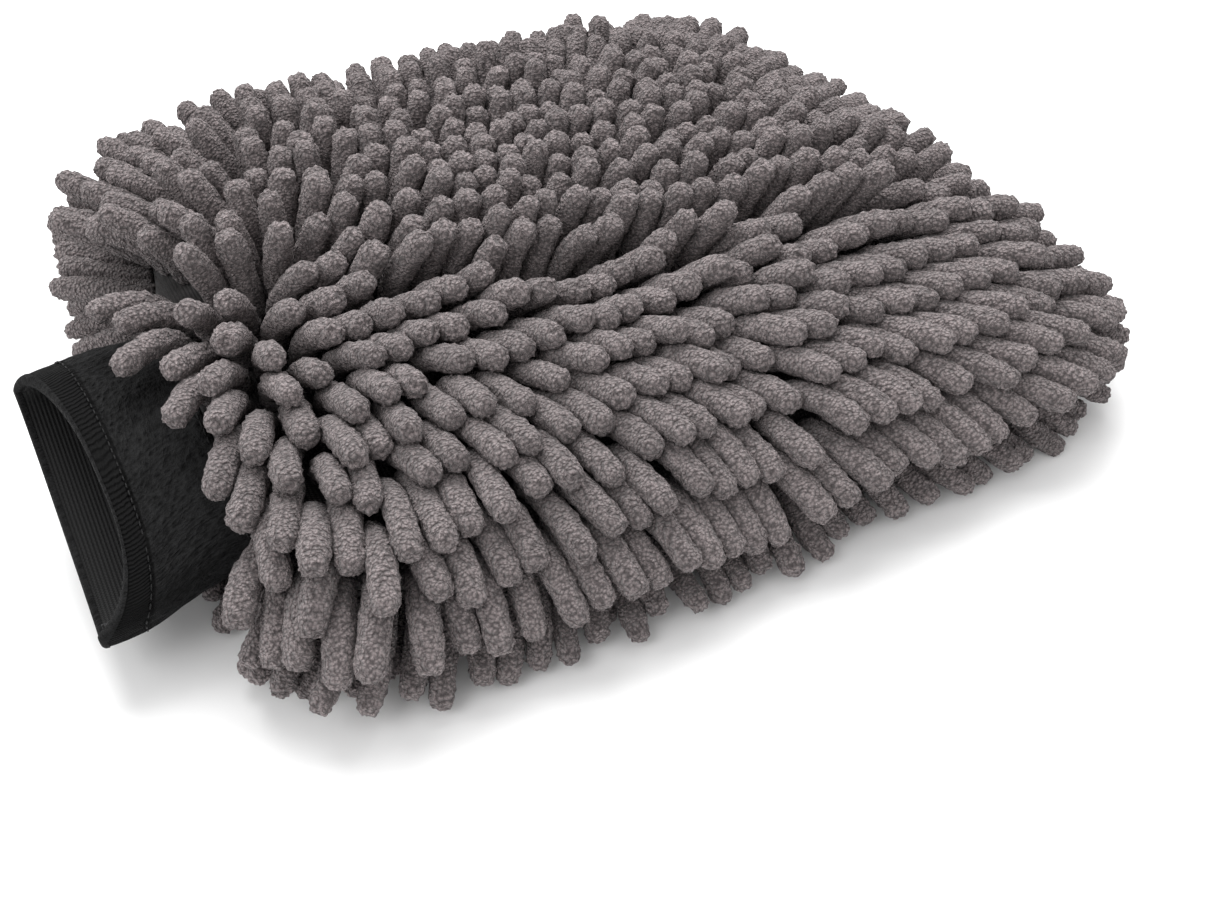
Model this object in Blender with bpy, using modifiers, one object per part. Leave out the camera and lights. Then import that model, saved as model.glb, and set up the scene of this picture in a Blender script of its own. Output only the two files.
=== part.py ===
"""Chenille wash mitt, lying on its bottom face with the cuff pointing to -X.

A two-panel pouch of base knit with a pocket lining, rows of chenille noodles on both
faces, and a two-ply elastic cuff. Metres, +Z up, origin under the middle of the mitt.
"""

import math

import bmesh
import bpy
from mathutils import Vector

MM = 0.001

# Pouch, sewn size
JOIN_X = -99.34 * MM
TIP_X = 111.66 * MM
BODY_HALF = 88.0 * MM
NECK_FRONT = 66.0 * MM
NECK_BACK = 20.0 * MM
FRONT_RADIUS = 20.0 * MM
BACK_RADIUS = 38.0 * MM
TIP_RADIUS = 30.0 * MM
TIP_SKEW = 0.1
SHOULDER_STEP = 6.0 * MM
SEAM_Z = 20.0 * MM
TOP_RISE = 18.0 * MM
HEEL_RISE = 4.0 * MM
BOTTOM_DROP = 7.0 * MM
SECTION_POWER = 2.5

# Cloth layers, each given by its distance inside the base knit's outer face
KNIT_THICK = 0.9 * MM
LINING_IN = 1.3 * MM
LINING_THICK = 0.7 * MM
PANEL_GAP = 0.25 * MM
PANEL_CELLS = 16

# Cuff
CUFF_LENGTH = 38.0 * MM
CUFF_YAW_SHIFT = -9.7 * MM
CUFF_Z = 27.0 * MM
MOUTH_HALF = 37.0 * MM
MOUTH_HALF_HEIGHT = 12.5 * MM
NECK_HALF_HEIGHT = 12.5 * MM
MOUTH_ROLL = math.radians(15.0)
MOUTH_SETBACK = 11.0 * MM
PLY_THICK = 1.0 * MM
INNER_PLY_IN = 1.4 * MM
JOIN_GAP = 0.4 * MM

# Noodle rows
ROW_COUNT = 21
ROW_PITCH = 8.1 * MM
ROW_WIDTH = 7.3 * MM
FLATTENED_WIDTH = 6.8 * MM
TOP_PILE = 22.0 * MM
BOTTOM_PILE = 22.0 * MM
EDGE_PILE = 5.0 * MM
PILE_LIFT = 0.6 * MM
EDGE_LIFT = 2.0 * MM
SIDE_LEAN = math.radians(62.0)
END_LEAN = math.radians(58.0)
ROW_CUTS = 11

CHENILLE = ("chenille", (0.135, 0.120, 0.118), 0.95)
BASE_KNIT = ("base_knit", (0.085, 0.078, 0.077), 0.9)
LINING = ("lining", (0.03, 0.03, 0.031), 0.85)
CUFF_KNIT = ("cuff_knit", (0.013, 0.013, 0.014), 0.85)
ELASTIC = ("elastic", (0.007, 0.007, 0.0075), 0.8)
TAPE = ("tape", (0.02, 0.02, 0.021), 0.8)
THREAD = ("thread", (0.011, 0.011, 0.012), 0.6)


def clear_scene():
    for obj in list(bpy.data.objects):
        bpy.data.objects.remove(obj)


def new_collection(name):
    collection = bpy.data.collections.new(name)
    bpy.context.scene.collection.children.link(collection)
    return collection


def material(kind):
    name, colour, rough = kind
    found = bpy.data.materials.get(name)
    if found:
        return found
    made = bpy.data.materials.new(name)
    made.use_nodes = True
    shader = made.node_tree.nodes["Principled BSDF"]
    shader.inputs["Base Color"].default_value = (*colour, 1.0)
    shader.inputs["Roughness"].default_value = rough
    shader.inputs["Metallic"].default_value = 0.0
    return made


def skew(co):
    """The tip end lies askew: its front corner is further out than its back corner."""
    co.x -= TIP_SKEW * co.y * ease(co.x / TIP_X)


def finish(bm, name, kind, collection, solid=0.0):
    for vert in bm.verts:
        skew(vert.co)
    bmesh.ops.recalc_face_normals(bm, faces=bm.faces)
    mesh = bpy.data.meshes.new(name)
    bm.to_mesh(mesh)
    bm.free()
    mesh.shade_smooth()
    obj = bpy.data.objects.new(name, mesh)
    obj.data.materials.append(material(kind))
    collection.objects.link(obj)
    if solid:
        wall = obj.modifiers.new("Solidify", "SOLIDIFY")
        wall.thickness = solid
        wall.offset = -1.0
        wall.use_even_offset = True
    return obj


def ease(t):
    """0 to 1 with level ends."""
    t = min(max(t, 0.0), 1.0)
    return t * t * (3.0 - 2.0 * t)


# ---------------------------------------------------------------- pouch surface


def middle_z(x):
    """Height of the seam round the edge."""
    return CUFF_Z + (SEAM_Z - CUFF_Z) * ease((x - JOIN_X) / (45.0 * MM))


def edge(x, inset, neck, radius):
    """How far the pouch's edge is from the X axis: neck, rounded shoulder, side, rounded tip."""
    shoulder = radius - inset
    shoulder_mid = JOIN_X + SHOULDER_STEP + radius
    tip = TIP_RADIUS - inset
    tip_mid = TIP_X - TIP_RADIUS
    if x < shoulder_mid - shoulder:
        low = neck - inset
        high = BODY_HALF - radius
        return low + (high - low) * (x - JOIN_X) / (shoulder_mid - shoulder - JOIN_X)
    if x < shoulder_mid:
        return BODY_HALF - radius + math.sqrt(shoulder**2 - (shoulder_mid - x) ** 2)
    if x < tip_mid:
        return BODY_HALF - inset
    return BODY_HALF - TIP_RADIUS + math.sqrt(max(tip**2 - (x - tip_mid) ** 2, 0.0))


def outline(x, inset):
    """The pouch's two edges at x, as y of its middle and half its width."""
    back = edge(x, inset, NECK_BACK, BACK_RADIUS)
    front = edge(x, inset, NECK_FRONT, FRONT_RADIUS)
    return (back - front) / 2.0, (back + front) / 2.0


def rise(x, inset, body):
    """Height of the pouch's middle above (or below) its seam."""
    swell = NECK_HALF_HEIGHT + (body - NECK_HALF_HEIGHT) * ease((x - JOIN_X) / (50.0 * MM))
    if body > NECK_HALF_HEIGHT:
        swell += HEEL_RISE * math.exp(-(((x - JOIN_X) / MM - 50.0) / 30.0) ** 2)
    start = 20.0 * MM
    end = TIP_X - inset
    run = min(max((x - start) / (end - start), 0.0), 1.0)
    return (swell - inset) * math.sqrt(max(1.0 - run**3, 0.0))


def section(v):
    return (1.0 - min(abs(v), 1.0) ** SECTION_POWER) ** (1.0 / SECTION_POWER)


def pouch_point(x, v, inset, side):
    """Point of the pouch at x, v from -1 to 1 across it, side 1 on top and -1 below."""
    body = TOP_RISE if side > 0 else BOTTOM_DROP
    z = middle_z(x) + side * (PANEL_GAP + rise(x, inset, body) * section(v))
    middle, half = outline(x, inset)
    return Vector((x, middle + half * v, z))


def panel_face(bm, inset, side):
    """One face of a cloth panel: a grid packed closer at its edges. Returns its vertices."""
    cells = PANEL_CELLS
    made = bmesh.ops.create_grid(bm, x_segments=cells, y_segments=cells, size=1.0)["verts"]
    for vert in made:
        s = math.sin(vert.co.x * math.pi / 2.0)
        v = math.sin(vert.co.y * math.pi / 2.0)
        x = JOIN_X + (TIP_X - inset - JOIN_X) * (s + 1.0) / 2.0
        vert.co = pouch_point(x, v, inset, side)
    return made


def panel(name, kind, collection, inset, thick, side):
    """One cloth panel of the pouch: its outer and inner faces, joined all round the rim."""
    bm = bmesh.new()
    panel_face(bm, inset, side)
    panel_face(bm, inset + thick, side)
    rims = [e for e in bm.edges if e.is_boundary]
    bmesh.ops.bridge_loops(bm, edges=rims)
    bmesh.ops.triangulate(bm, faces=bm.faces)
    return finish(bm, name, kind, collection)


# ---------------------------------------------------------------- noodle rows


def row_ends(y):
    """First and last x where a noodle row at y is inside the pouch's outline."""
    steps = 400
    inside = []
    for i in range(steps + 1):
        x = JOIN_X + (TIP_X - JOIN_X) * i / steps
        middle, half = outline(x, 2.5 * MM if x > JOIN_X + 14.0 * MM else 6.5 * MM)
        if abs(y - middle) + ROW_WIDTH / 2.0 < half:
            inside.append(x)
    return min(inside) + 1.5 * MM, max(inside) - 1.5 * MM


def outline_ends(y):
    """Where the pouch's outline crosses the line y, at the cuff and at the tip."""
    radius = BACK_RADIUS if y > 0.0 else FRONT_RADIUS
    past = min(max(abs(y) - BODY_HALF + radius, 0.0), radius)
    first = JOIN_X + SHOULDER_STEP + radius - math.sqrt(radius**2 - past**2)
    past = min(max(abs(y) - BODY_HALF + TIP_RADIUS, 0.0), TIP_RADIUS)
    return first, TIP_X - TIP_RADIUS + math.sqrt(TIP_RADIUS**2 - past**2)


def stand(x, y, side, h, room):
    """Reach of the pile at x, y and height h, 0 to 1, leaning out at sides and ends.

    Below, the pile is pressed level on the surface that lies room under the base knit.
    """
    first, last = outline_ends(y)
    reach = 42.0 * MM
    to_tip = min(max(0.0, 1.0 - (last - x) / reach), 1.0)
    to_cuff = min(max(0.0, 1.0 - (x - first) / reach), 1.0)
    out = abs(y / BODY_HALF)
    across = math.tan(SIDE_LEAN) * math.copysign(out**3, y)
    if side < 0:
        across = math.tan(SIDE_LEAN) * y / BODY_HALF * out
    ahead = math.tan(END_LEAN) * (to_tip**2 - 0.8 * to_cuff**2)
    way = Vector((ahead, across, side)).normalized()
    pile = TOP_PILE if side > 0 else BOTTOM_PILE
    pile += EDGE_PILE * max(out**2, to_tip**2)
    lift = PILE_LIFT + EDGE_LIFT * max(out**6, 0.5 * to_cuff**2)
    if side < 0:
        pile = min(pile, room / -way.z - lift)
    return way * (lift + pile * h)


def noodle_row(name, collection, y, side):
    """One row of noodles as a bar that follows the base knit, rounded along its top."""
    first, last = row_ends(y)
    bm = bmesh.new()
    bmesh.ops.create_cube(bm, size=1.0)
    top = [
        e
        for e in bm.edges
        if all(v.co.z > 0.0 for v in e.verts) and abs(e.verts[0].co.x - e.verts[1].co.x) > 0.5
    ]
    bmesh.ops.bevel(bm, geom=top, offset=0.24, segments=2, profile=0.5, affect="EDGES")
    long = [e for e in bm.edges if abs(e.verts[0].co.x - e.verts[1].co.x) > 0.9]
    bmesh.ops.subdivide_edges(bm, edges=long, cuts=ROW_CUTS)
    for vert in bm.verts:
        s, t, h = vert.co.x + 0.5, vert.co.y, vert.co.z + 0.5
        s = 0.5 - 0.5 * math.cos(math.pi * s)
        x = first + (last - first) * s
        here = y + (ROW_WIDTH if side > 0 else FLATTENED_WIDTH) * t
        middle, half = outline(x, 0.0)
        v = (here - middle) / half
        base = pouch_point(x, max(-0.99, min(0.99, v)), 0.0, side)
        base.y = here
        vert.co = base + stand(x, here, side, h, base.z)
    bmesh.ops.triangulate(bm, faces=bm.faces)
    return finish(bm, name, CHENILLE, collection)


def noodle_rows(collection):
    for side, label in ((1, "top"), (-1, "bottom")):
        for i in range(ROW_COUNT):
            y = (i - (ROW_COUNT - 1) / 2.0) * ROW_PITCH
            noodle_row(f"{label}_noodle_row_{i + 1:02d}", collection, y, side)


# ---------------------------------------------------------------- cuff


def cuff_point(run, angle, inset):
    """Point of the cuff, run 0 at the pouch and 1 at the mouth, angle round it from +Y."""
    turn = MOUTH_ROLL * ease(run)
    neck_y, neck_half = outline(JOIN_X, 0.0)
    half = neck_half + (MOUTH_HALF - neck_half) * run - inset
    high = NECK_HALF_HEIGHT + (MOUTH_HALF_HEIGHT - NECK_HALF_HEIGHT) * run - inset
    power = 2.0 / SECTION_POWER
    c, s = math.cos(angle), math.sin(angle)
    y = half * math.copysign(abs(c) ** power, c)
    z = high * math.copysign(abs(s) ** power, s)
    back = MOUTH_SETBACK * run**2 * max(s, 0.0) * (1.0 - 0.3 * c)
    x = JOIN_X - JOIN_GAP - (CUFF_LENGTH - JOIN_GAP) * run + back
    mid_y = neck_y + CUFF_YAW_SHIFT * ease(run)
    mid_z = CUFF_Z + 2.0 * MM * ease(run)
    return Vector(
        (
            x,
            mid_y + y * math.cos(turn) - z * math.sin(turn),
            mid_z + y * math.sin(turn) + z * math.cos(turn),
        )
    )


def tube(name, kind, collection, thick, rings, place, around=36):
    """Open tube of cloth: a circle drawn out ring by ring, each ring set by place(ring, angle)."""
    bm = bmesh.new()
    made = bmesh.ops.create_circle(bm, segments=around, radius=1.0)
    loop = made["verts"]
    order = [math.atan2(v.co.y, v.co.x) for v in loop]
    for vert, angle in zip(loop, order):
        vert.co = place(0, angle)
    edges = list(bm.edges)
    for ring in range(1, rings + 1):
        before = {v: a for v, a in zip(loop, order)}
        out = bmesh.ops.extrude_edge_only(bm, edges=edges)["geom"]
        fresh = [g for g in out if isinstance(g, bmesh.types.BMVert)]
        edges = [g for g in out if isinstance(g, bmesh.types.BMEdge)]
        loop, order = [], []
        for vert in fresh:
            old = next(e.other_vert(vert) for e in vert.link_edges if e.other_vert(vert) in before)
            loop.append(vert)
            order.append(before[old])
        for vert, angle in zip(loop, order):
            vert.co = place(ring, angle)
        edges = [e for e in edges if e.verts[0] in loop and e.verts[1] in loop]
    obj = finish(bm, name, kind, collection, thick)
    outward = 0.0
    middle = sum((v.co for v in obj.data.vertices), Vector()) / len(obj.data.vertices)
    for face in obj.data.polygons:
        outward += face.normal.dot(face.center - middle) * face.area
    if outward < 0.0:
        obj.data.flip_normals()
    return obj


def cuff(collection):
    rings = 8
    hem = 0.965

    def outer(ring, angle):
        return cuff_point(hem * ring / rings, angle, 0.0)

    def inner(ring, angle):
        return cuff_point(hem * ring / rings, angle, INNER_PLY_IN)

    tube("cuff_outer_ply", CUFF_KNIT, collection, PLY_THICK, rings, outer)
    tube("cuff_inner_elastic", ELASTIC, collection, PLY_THICK, rings, inner)

    def rim(ring, angle):
        return cuff_point(0.997 + 0.02 * ring, angle, 0.0)

    tube("cuff_mouth_hem", CUFF_KNIT, collection, INNER_PLY_IN + PLY_THICK, 1, rim)

    def hem_stitch(ring, angle):
        return cuff_point(0.78 + 0.012 * ring, angle, -0.75 * MM)

    tube("cuff_hem_thread", THREAD, collection, 0.4 * MM, 1, hem_stitch)


def cuff_side_seam(collection):
    """The cuff's two ends sewn together: a narrow overlocked ridge inside, at the -Y end."""
    bm = bmesh.new()
    bmesh.ops.create_cube(bm, size=1.0)
    long = [e for e in bm.edges if abs(e.verts[0].co.x - e.verts[1].co.x) > 0.5]
    bmesh.ops.subdivide_edges(bm, edges=long, cuts=7)
    for vert in bm.verts:
        run = 0.12 + 0.84 * (vert.co.x + 0.5)
        side = 0.10 * vert.co.y
        deep = INNER_PLY_IN + PLY_THICK + 0.35 * MM + 1.6 * MM * (0.5 - vert.co.z)
        vert.co = cuff_point(run, math.pi + side, deep)
    bmesh.ops.triangulate(bm, faces=bm.faces)
    finish(bm, "cuff_side_seam", TAPE, collection)


def cuff_join(collection):
    """Seam allowance of pouch and cuff, bound with tape inside, and its stitch line."""

    def tape(ring, angle):
        return cuff_point(0.075 * (1 - ring) + 0.01, angle, INNER_PLY_IN + PLY_THICK + 0.4 * MM)

    tube("cuff_join_tape", TAPE, collection, 1.2 * MM, 1, tape)

    def stitch(ring, angle):
        return cuff_point(0.05 - 0.012 * ring, angle, -0.75 * MM)

    tube("cuff_join_thread", THREAD, collection, 0.4 * MM, 1, stitch)


# ---------------------------------------------------------------- edge seam


def edge_line(inset, count):
    """Points round the pouch's edge, from the cuff's +Y end by the tip to its -Y end."""
    points = []
    across = []
    for i in range(count + 1):
        s = -math.cos(math.pi * i / count)
        x = JOIN_X + 3.0 * MM + (TIP_X - inset - JOIN_X - 3.0 * MM) * (s + 1.0) / 2.0
        points.append(pouch_point(x, 1.0, inset, 1))
        across.append(pouch_point(x, -1.0, inset, 1))
    ends = []
    flat = 8
    for i in range(1, flat):
        ends.append(pouch_point(TIP_X - inset, 1.0 - 2.0 * i / flat, inset, 1))
    line = points + ends + across[::-1]
    for p in line:
        p.z = middle_z(p.x)
    return line


def ribbon(name, kind, collection, outer_line, inner_line, thick):
    """Flat strip between two lines of equally many points, built out from its middle."""
    bm = bmesh.new()
    outer = [bm.verts.new(p) for p in outer_line]
    inner = [bm.verts.new(p) for p in inner_line]
    for i in range(len(outer) - 1):
        bm.faces.new((outer[i], outer[i + 1], inner[i + 1], inner[i]))
    obj = finish(bm, name, kind, collection, thick)
    obj.modifiers["Solidify"].offset = 0.0
    return obj


def edge_seam(collection):
    """Seam allowance bound with tape, inside the pocket along the edge, and its stitches."""
    count = 22
    near = LINING_IN + LINING_THICK + 2.5 * MM
    ribbon(
        "edge_seam_tape",
        TAPE,
        collection,
        edge_line(near, count),
        edge_line(near + 6.0 * MM, count),
        0.6 * MM,
    )
    line = edge_line(near + 2.6 * MM, count)
    beside = edge_line(near + 3.2 * MM, count)
    for p, q in zip(line, beside):
        p.z += 0.9 * MM
        q.z += 0.9 * MM
    ribbon("edge_seam_thread", THREAD, collection, line, beside, 0.4 * MM)


def build():
    clear_scene()
    mitt = new_collection("wash_mitt")
    for side, label in ((1, "top"), (-1, "bottom")):
        panel(f"{label}_base_knit", BASE_KNIT, mitt, 0.0, KNIT_THICK, side)
        panel(f"{label}_pocket_lining", LINING, mitt, LINING_IN, LINING_THICK, side)
    noodle_rows(mitt)
    cuff(mitt)
    cuff_side_seam(mitt)
    cuff_join(mitt)
    edge_seam(mitt)


build()
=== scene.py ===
"""Chenille wash mitt, lying on a pale floor with its cuff towards -X.

Built in the order it is sewn: two panels of base knit and their lining make the pocket,
rows of chenille noodles are fixed to both faces, and a two-ply cuff closes the wrist.
"""

import math

import bmesh
import bpy
import numpy as np
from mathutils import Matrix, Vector
from mathutils.kdtree import KDTree


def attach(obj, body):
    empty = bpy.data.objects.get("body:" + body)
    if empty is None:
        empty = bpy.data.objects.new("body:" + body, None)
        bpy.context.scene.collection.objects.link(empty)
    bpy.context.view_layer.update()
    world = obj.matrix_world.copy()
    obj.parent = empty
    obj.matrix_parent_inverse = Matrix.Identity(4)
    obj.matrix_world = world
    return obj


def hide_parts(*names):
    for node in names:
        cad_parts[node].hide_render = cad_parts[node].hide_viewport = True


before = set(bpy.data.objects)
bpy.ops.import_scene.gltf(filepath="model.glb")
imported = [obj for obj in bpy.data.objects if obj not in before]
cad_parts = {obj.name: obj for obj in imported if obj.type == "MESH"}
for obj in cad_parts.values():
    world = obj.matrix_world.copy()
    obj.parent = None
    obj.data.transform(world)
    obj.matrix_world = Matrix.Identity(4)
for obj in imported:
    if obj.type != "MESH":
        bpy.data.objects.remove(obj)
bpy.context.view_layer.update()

MM = 0.001
chance = np.random.default_rng(11)


# ------------------------------------------------------------------ workshop
# Small tools used for every piece: shader maths, new objects, smooth ramps.


def plug(socket, value):
    """Links a wire to a socket, or sets the socket to a plain value."""
    if isinstance(value, Wire):
        socket.id_data.links.new(value.socket, socket)
    else:
        socket.default_value = value


class Wire:
    """An output socket that adds, subtracts and multiplies like a number."""

    def __init__(self, socket):
        self.socket = socket

    def sum_up(self, operation, first, second):
        made = self.socket.id_data.nodes.new("ShaderNodeMath")
        made.operation = operation
        plug(made.inputs[0], first)
        plug(made.inputs[1], second)
        return Wire(made.outputs[0])

    def __add__(self, other):
        return self.sum_up("ADD", self, other)

    def __radd__(self, other):
        return self.sum_up("ADD", other, self)

    def __sub__(self, other):
        return self.sum_up("SUBTRACT", self, other)

    def __rsub__(self, other):
        return self.sum_up("SUBTRACT", other, self)

    def __mul__(self, other):
        return self.sum_up("MULTIPLY", self, other)

    def __rmul__(self, other):
        return self.sum_up("MULTIPLY", other, self)

    def wave(self):
        """Sine of the wire, from 0 to 1."""
        return self.sum_up("SINE", self, 0.0) * 0.5 + 0.5


class Cloth:
    """A material: its Principled shader and the nodes that feed it."""

    def __init__(self, name, rough, sheen=0.0, sheen_rough=0.5, sheen_tint=(1, 1, 1, 1)):
        self.material = bpy.data.materials.new(name)
        self.material.use_nodes = True
        self.tree = self.material.node_tree
        self.shader = self.tree.nodes["Principled BSDF"]
        self.shader.inputs["Roughness"].default_value = rough
        self.shader.inputs["Specular IOR Level"].default_value = 0.25
        self.shader.inputs["Sheen Weight"].default_value = sheen
        self.shader.inputs["Sheen Roughness"].default_value = sheen_rough
        self.shader.inputs["Sheen Tint"].default_value = sheen_tint

    def node(self, kind, settings, inputs, output=0):
        made = self.tree.nodes.new(kind)
        for name, value in settings.items():
            setattr(made, name, value)
        for name, value in inputs.items():
            plug(made.inputs[name], value)
        return Wire(made.outputs[output])

    def attribute(self, name, output="Vector"):
        return self.node("ShaderNodeAttribute", {"attribute_name": name}, {}, output)

    def scaled(self, vector, by):
        return self.node("ShaderNodeVectorMath", {"operation": "MULTIPLY"}, {0: vector, 1: by})

    def part(self, vector, axis):
        return self.node("ShaderNodeSeparateXYZ", {}, {0: vector}, axis)

    def noise(self, vector, scale, detail=2.0, rough=0.55):
        inputs = {"Vector": vector, "Scale": scale, "Detail": detail, "Roughness": rough}
        return self.node("ShaderNodeTexNoise", {}, inputs, "Fac")

    def cells(self, vector, scale, smooth=0.5):
        settings = {"feature": "SMOOTH_F1"}
        inputs = {"Vector": vector, "Scale": scale, "Smoothness": smooth}
        return self.node("ShaderNodeTexVoronoi", settings, inputs, "Distance")

    def ramp(self, value, low, high, start=0.0, end=1.0):
        settings = {"interpolation_type": "SMOOTHSTEP"}
        inputs = {0: value, 1: low, 2: high, 3: start, 4: end}
        return self.node("ShaderNodeMapRange", settings, inputs)

    def mix(self, factor, first, second):
        inputs = {0: factor, 6: first, 7: second}
        return self.node("ShaderNodeMix", {"data_type": "RGBA"}, inputs, 2)

    def bump(self, height, deep):
        inputs = {"Strength": 1.0, "Distance": deep, "Height": height}
        plug(self.shader.inputs["Normal"], self.node("ShaderNodeBump", {}, inputs))

    def colour(self, wire):
        plug(self.shader.inputs["Base Color"], wire)


def ease(t):
    """0 to 1 with level ends."""
    t = np.clip(t, 0.0, 1.0)
    return t * t * (3.0 - 2.0 * t)


def show(bm, name, cloth, nodes):
    """Makes the object of a mesh, with its material, its slot and the nodes it stands for."""
    mesh = bpy.data.meshes.new(name)
    bm.to_mesh(mesh)
    bm.free()
    return dress(mesh, cloth, nodes)


def dress(mesh, cloth, nodes):
    """Lays the mesh askew as the whole mitt lies: the tip's front corner is further out."""
    co = np.zeros(3 * len(mesh.vertices), np.float32)
    mesh.vertices.foreach_get("co", co)
    co = co.reshape(-1, 3)
    co[:, 0] -= TIP_SKEW * co[:, 1] * ease(co[:, 0] / TIP_X)
    mesh.vertices.foreach_set("co", co.ravel())
    mesh.shade_smooth()
    mesh.materials.append(cloth.material)
    piece = bpy.data.objects.new(mesh.name, mesh)
    bpy.context.scene.collection.objects.link(piece)
    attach(piece, "root")
    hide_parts(*nodes)
    return piece


def thicken(piece, thick):
    """Cloth's thickness, laid inwards from its outer face."""
    wall = piece.modifiers.new("Solidify", "SOLIDIFY")
    wall.thickness = thick
    wall.offset = -1.0
    wall.use_even_offset = True


def sheet_grid(across, along, place):
    """Grid of faces from 0 to 1 both ways, each corner set by place(s, t) for arrays."""
    bm = bmesh.new()
    bmesh.ops.create_grid(bm, x_segments=across, y_segments=along, size=0.5)
    s = np.array([v.co.x + 0.5 for v in bm.verts])
    t = np.array([v.co.y + 0.5 for v in bm.verts])
    for vert, co in zip(bm.verts, place(s, t)):
        vert.co = co
    return bm, s, t


def keep_weave(bm, s, t, wide, long):
    """Keeps each corner's place on the flat cloth, in metres, for the weave to follow."""
    layer = bm.verts.layers.float_vector.new("weave")
    for vert, a, b in zip(bm.verts, s, t):
        vert[layer] = (a * wide, b * long, 0.0)


# ------------------------------------------------------------------ pocket
# Two panels of near-black base knit sewn round three sides. The mitt lies slightly full:
# the top panel arches, the lower one is nearly level. The cuff joins a narrower neck.

JOIN_X, TIP_X, BODY_HALF = -99.34 * MM, 111.66 * MM, 88.0 * MM
NECK_FRONT, NECK_BACK = 66.0 * MM, 20.0 * MM
FRONT_RADIUS, BACK_RADIUS, TIP_RADIUS = 20.0 * MM, 38.0 * MM, 30.0 * MM
SHOULDER_STEP, SECTION_POWER = 6.0 * MM, 2.5
CUFF_Z, SEAM_Z, PANEL_GAP = 27.0 * MM, 20.0 * MM, 0.25 * MM
TOP_RISE, BOTTOM_DROP, NECK_RISE, HEEL_RISE = 18.0 * MM, 7.0 * MM, 12.5 * MM, 4.0 * MM
TIP_SKEW = 0.1
KNIT_THICK, LINING_IN, LINING_THICK = 0.9 * MM, 1.3 * MM, 0.7 * MM
PANEL_CELLS = 72
PANEL_FLAT_LONG, PANEL_FLAT_WIDE = 0.203, 0.18


def middle_z(x):
    """Height of the seam round the edge."""
    return CUFF_Z + (SEAM_Z - CUFF_Z) * ease((x - JOIN_X) / (45.0 * MM))


def edge(x, inset, neck, radius):
    """How far the pocket's edge is from the X axis: neck, shoulder, side, rounded tip."""
    mid = JOIN_X + SHOULDER_STEP + radius
    shoulder, tip, flat = radius - inset, TIP_RADIUS - inset, BODY_HALF - radius
    run = (x - JOIN_X) / (mid - shoulder - JOIN_X)
    at_neck = (neck - inset) + (flat - neck + inset) * run
    short = np.clip(mid - x, 0.0, shoulder)
    at_shoulder = flat + np.sqrt(shoulder**2 - short**2)
    past = np.clip(x - TIP_X + TIP_RADIUS, 0.0, tip)
    at_tip = BODY_HALF - TIP_RADIUS + np.sqrt(tip**2 - past**2)
    return np.where(x > 0.0, at_tip, np.where(x < mid - shoulder, at_neck, at_shoulder))


def outline(x, inset=0.0):
    """y of the pocket's middle at x, and half its width."""
    back = edge(x, inset, NECK_BACK, BACK_RADIUS)
    front = edge(x, inset, NECK_FRONT, FRONT_RADIUS)
    return (back - front) / 2.0, (back + front) / 2.0


def rise(x, inset, side):
    """Height of the top panel's middle over the seam, or depth of the lower one's."""
    body = np.where(side > 0, TOP_RISE, BOTTOM_DROP)
    swell = NECK_RISE + (body - NECK_RISE) * ease((x - JOIN_X) / (50.0 * MM))
    heel = HEEL_RISE * np.exp(-(((x - JOIN_X) / MM - 50.0) / 30.0) ** 2)
    swell = swell + np.where(side > 0, heel, 0.0)
    level = 20.0 * MM
    run = np.clip((x - level) / (TIP_X - inset - level), 0.0, 1.0)
    return (swell - inset) * np.sqrt(1.0 - run**3)


def section(v):
    """Height of the cross-section at v, -1 to 1 across it."""
    return (1.0 - np.clip(np.abs(v), 0.0, 1.0) ** SECTION_POWER) ** (1.0 / SECTION_POWER)


def panel_point(x, v, inset, side):
    middle, half = outline(x, inset)
    z = middle_z(x) + side * (PANEL_GAP + rise(x, inset, side) * section(v))
    return np.stack([x, middle + half * v, z], axis=-1)


def panel(name, cloth, node, inset, thick, side):
    """One panel: a grid packed closer at its edges and laid on the pocket's surface."""

    def place(s, t):
        x = JOIN_X + (TIP_X - inset - JOIN_X) * (0.5 - 0.5 * np.cos(math.pi * s))
        return panel_point(x, -np.cos(math.pi * t), inset, side)

    bm, s, t = sheet_grid(PANEL_CELLS, PANEL_CELLS, place)
    along, across = 0.5 - 0.5 * np.cos(math.pi * s), 0.5 - 0.5 * np.cos(math.pi * t)
    keep_weave(bm, along, across, PANEL_FLAT_LONG, PANEL_FLAT_WIDE)
    bmesh.ops.recalc_face_normals(bm, faces=bm.faces)
    if sum(f.normal.z for f in bm.faces) * side < 0.0:
        bmesh.ops.reverse_faces(bm, faces=bm.faces)
    piece = show(bm, name, cloth, [node])
    thicken(piece, thick)
    return piece


knit = Cloth("base_knit", 0.9, sheen=0.08, sheen_rough=0.6)
weave = knit.attribute("weave")
wale = knit.part(weave, 0) * (2 * math.pi / (0.9 * MM))
course = knit.part(weave, 1) * (2 * math.pi / (0.7 * MM))
loops = wale.wave() * course.wave()
fuzz = knit.noise(weave, 1800.0, 3.0)
knit.bump(loops * 0.7 + fuzz * 0.3, 0.35 * MM)
# Painted light and shade: the colour follows the loops' height, lighter on their raised tops and
# darker in the hollows between them, with the fuzz's mottling.
painted_loop_light = knit.ramp(loops + fuzz * 0.5, 0.1, 1.1)
knit.colour(knit.mix(painted_loop_light, (0.006, 0.0052, 0.0052, 1), (0.045, 0.039, 0.039, 1)))

lining = Cloth("lining", 0.8, sheen=0.1)
weave = lining.attribute("weave")
fine = (lining.part(weave, 0) * (2 * math.pi / (0.6 * MM))).wave()
fine = fine * (lining.part(weave, 1) * (2 * math.pi / (0.6 * MM))).wave()
lining.bump(fine, 0.15 * MM)
lining.colour(lining.mix(fine, (0.018, 0.018, 0.019, 1), (0.036, 0.036, 0.037, 1)))

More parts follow.
